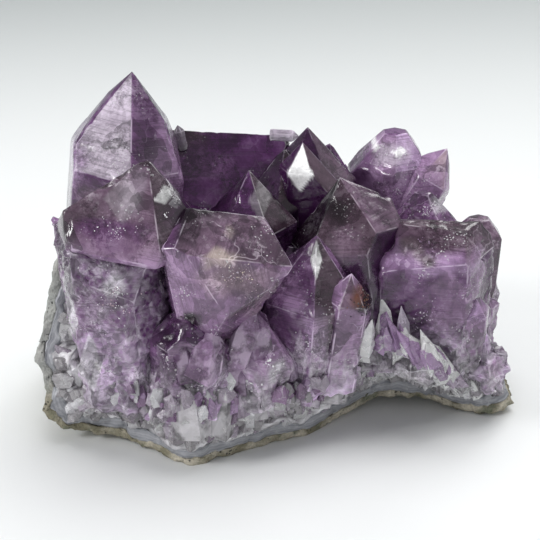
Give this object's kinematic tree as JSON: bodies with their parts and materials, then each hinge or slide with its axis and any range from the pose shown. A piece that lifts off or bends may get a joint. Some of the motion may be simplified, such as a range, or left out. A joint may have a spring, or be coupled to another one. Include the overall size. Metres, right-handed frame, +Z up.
{
  "type": "amethyst cluster",
  "caption": "Broken piece of geode wall that lies on its curved rind and carries a dense cluster of violet amethyst points, for display.",
  "frame": {"origin": "middle of the base of the box around the cluster, on the surface that it lies on", "axes": "+X along the piece's length towards its low right end, -Y towards its broken front face, +Z up"},
  "size_m": [0.1624, 0.1106, 0.118],
  "materials": {
    "basalt_rind": "rough, dull weathered basalt",
    "grey_agate": "waxy broken chalcedony",
    "milky_quartz": "glassy, cloudy quartz",
    "clear_quartz": "glassy colourless quartz",
    "violet_amethyst": "glassy violet quartz with growth lines",
    "deep_amethyst": "glassy, very dark violet quartz",
    "pale_amethyst": "glassy pale lavender quartz, partly cloudy",
    "violet_mass": "broken, partly glassy violet quartz"
  },
  "bodies": {
    "root": {"rind": "basalt_rind", "agate_band": "grey_agate", "quartz_bed": "milky_quartz", "amethyst_mass": "violet_mass", "front_left_point": "violet_amethyst", "tall_left_point": "violet_amethyst", "front_big_point": "pale_amethyst", "rust_column": "violet_amethyst", "front_centre_point": "violet_amethyst", "front_left_block": "pale_amethyst", "centre_dark_point": "deep_amethyst", "right_front_foot": "pale_amethyst", "right_lower_column": "pale_amethyst", "right_big_point": "violet_amethyst", "dark_wedge_point": "deep_amethyst", "front_left_foot": "violet_amethyst", "front_centre_foot": "pale_amethyst", "right_pale_foot": "pale_amethyst", "mirror_facet_point": "deep_amethyst", "back_mirror_point": "deep_amethyst", "centre_small_point": "deep_amethyst", "back_ridge_point": "deep_amethyst", "ridge_side_point": "deep_amethyst", "back_middle_point": "deep_amethyst", "back_pale_point": "pale_amethyst", "back_right_point": "pale_amethyst", "right_middle_point": "violet_amethyst", "right_end_point": "violet_amethyst", "right_edge_column": "violet_amethyst", "ridge_clear_shard": "clear_quartz", "ridge_clear_block": "clear_quartz", "back_left_point": "violet_amethyst", "back_centre_left_point": "violet_amethyst", "back_centre_point": "violet_amethyst", "back_centre_right_point": "violet_amethyst", "back_right_low_point": "violet_amethyst", "back_right_corner_point": "violet_amethyst", "right_back_point": "violet_amethyst", "back_low_left_point": "violet_amethyst", "back_low_middle_point": "pale_amethyst", "back_low_centre_point": "violet_amethyst", "back_low_right_point": "pale_amethyst"}
  },
  "joints": []
}
